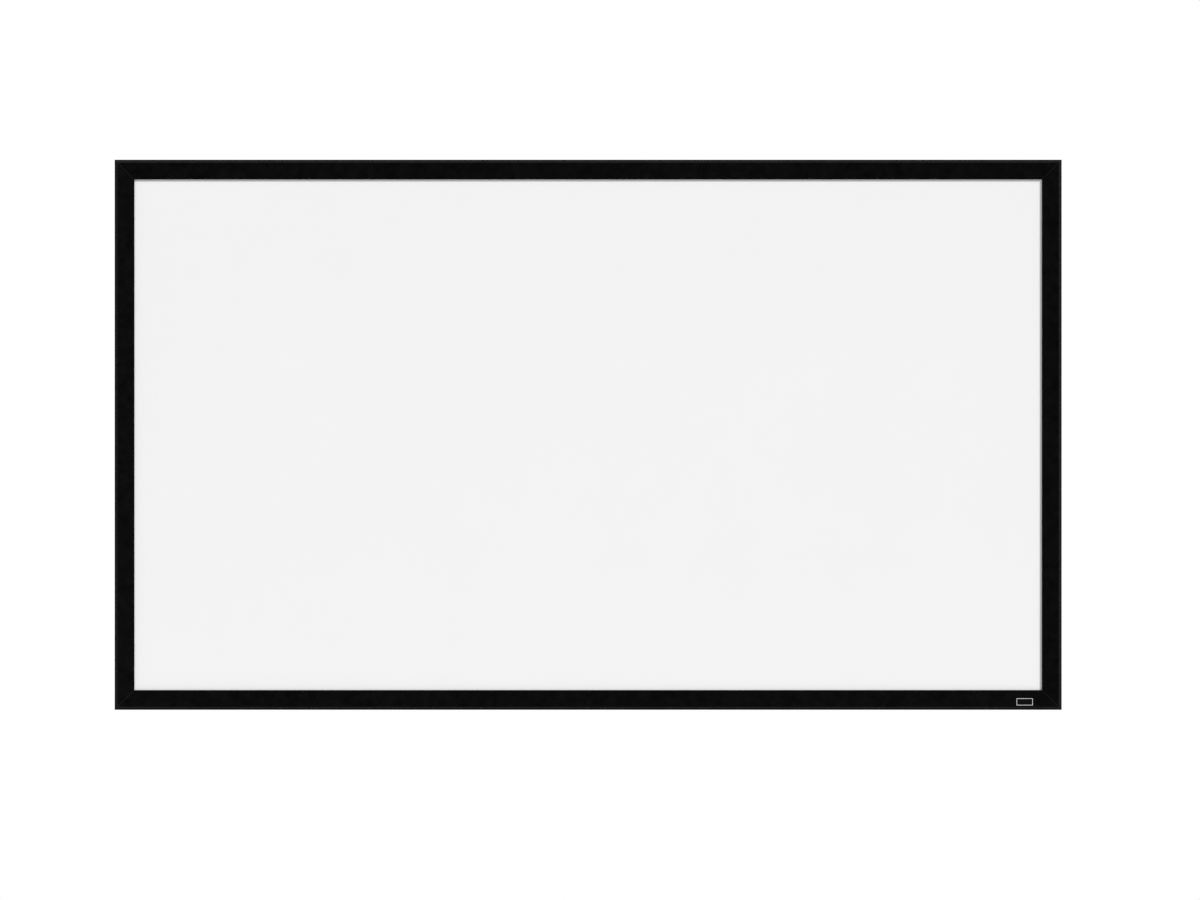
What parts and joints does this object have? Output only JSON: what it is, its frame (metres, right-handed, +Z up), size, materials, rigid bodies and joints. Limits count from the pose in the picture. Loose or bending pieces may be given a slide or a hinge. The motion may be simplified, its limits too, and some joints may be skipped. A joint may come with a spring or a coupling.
{
  "type": "fixed frame projection screen",
  "caption": "Wall-hung 16:9 projection screen: white sheet sprung tight behind a mitred black velvet frame with a sloping face, on hook-in wall brackets.",
  "frame": {"origin": "middle of the bounding box: the middle of the picture from the front, halfway from the badge on the front to the wall plane in depth", "axes": "+Z up, +X to the right seen from the front, +Y towards the wall; the picture faces -Y"},
  "size_m": [2.887, 0.0394, 1.677],
  "materials": {
    "velvet": "deep black pile",
    "aluminium": "mill, extruded",
    "zinc_steel": "zinc plated",
    "black_steel": "black powder coat",
    "screen": "matte white",
    "vinyl": "black vinyl",
    "spring_steel": "bright zinc",
    "plastic": "moulded black",
    "badge": "gloss black with a thin white border, blank"
  },
  "bodies": {
    "root": {"badge_plate": "badge", "bar_foot_bottom": "plastic", "bar_foot_top": "plastic", "elbow_bottom_left": "zinc_steel", "elbow_bottom_right": "zinc_steel", "elbow_screw_bottom_left_1": "zinc_steel", "elbow_screw_bottom_left_2": "zinc_steel", "elbow_screw_bottom_left_3": "zinc_steel", "elbow_screw_bottom_left_4": "zinc_steel", "elbow_screw_bottom_right_1": "zinc_steel", "elbow_screw_bottom_right_2": "zinc_steel", "elbow_screw_bottom_right_3": "zinc_steel", "elbow_screw_bottom_right_4": "zinc_steel", "elbow_screw_top_left_1": "zinc_steel", "elbow_screw_top_left_2": "zinc_steel", "elbow_screw_top_left_3": "zinc_steel", "elbow_screw_top_left_4": "zinc_steel", "elbow_screw_top_right_1": "zinc_steel", "elbow_screw_top_right_2": "zinc_steel", "elbow_screw_top_right_3": "zinc_steel", "elbow_screw_top_right_4": "zinc_steel", "elbow_top_left": "zinc_steel", "elbow_top_right": "zinc_steel", "rail_bottom_left": "aluminium", "rail_bottom_right": "aluminium", "rail_left": "aluminium", "rail_right": "aluminium", "rail_top_left": "aluminium", "rail_top_right": "aluminium", "screen_sheet": "screen", "sleeve_bottom": "vinyl", "sleeve_left": "vinyl", "sleeve_right": "vinyl", "sleeve_top": "vinyl", "splice_plate_bottom": "zinc_steel", "splice_plate_top": "zinc_steel", "splice_screw_bottom_1": "zinc_steel", "splice_screw_bottom_2": "zinc_steel", "splice_screw_bottom_3": "zinc_steel", "splice_screw_bottom_4": "zinc_steel", "splice_screw_top_1": "zinc_steel", "splice_screw_top_2": "zinc_steel", "splice_screw_top_3": "zinc_steel", "splice_screw_top_4": "zinc_steel", "support_bar": "aluminium", "tension_rod_bottom": "spring_steel", "tension_rod_left": "spring_steel", "tension_rod_right": "spring_steel", "tension_rod_top": "spring_steel", "velvet_bottom_left": "velvet", "velvet_bottom_right": "velvet", "velvet_left": "velvet", "velvet_right": "velvet", "velvet_top_left": "velvet", "velvet_top_right": "velvet", "wall_bracket_lower_left": "black_steel", "wall_bracket_lower_right": "black_steel", "wall_bracket_upper_left": "black_steel", "wall_bracket_upper_right": "black_steel"}
  },
  "joints": []
}
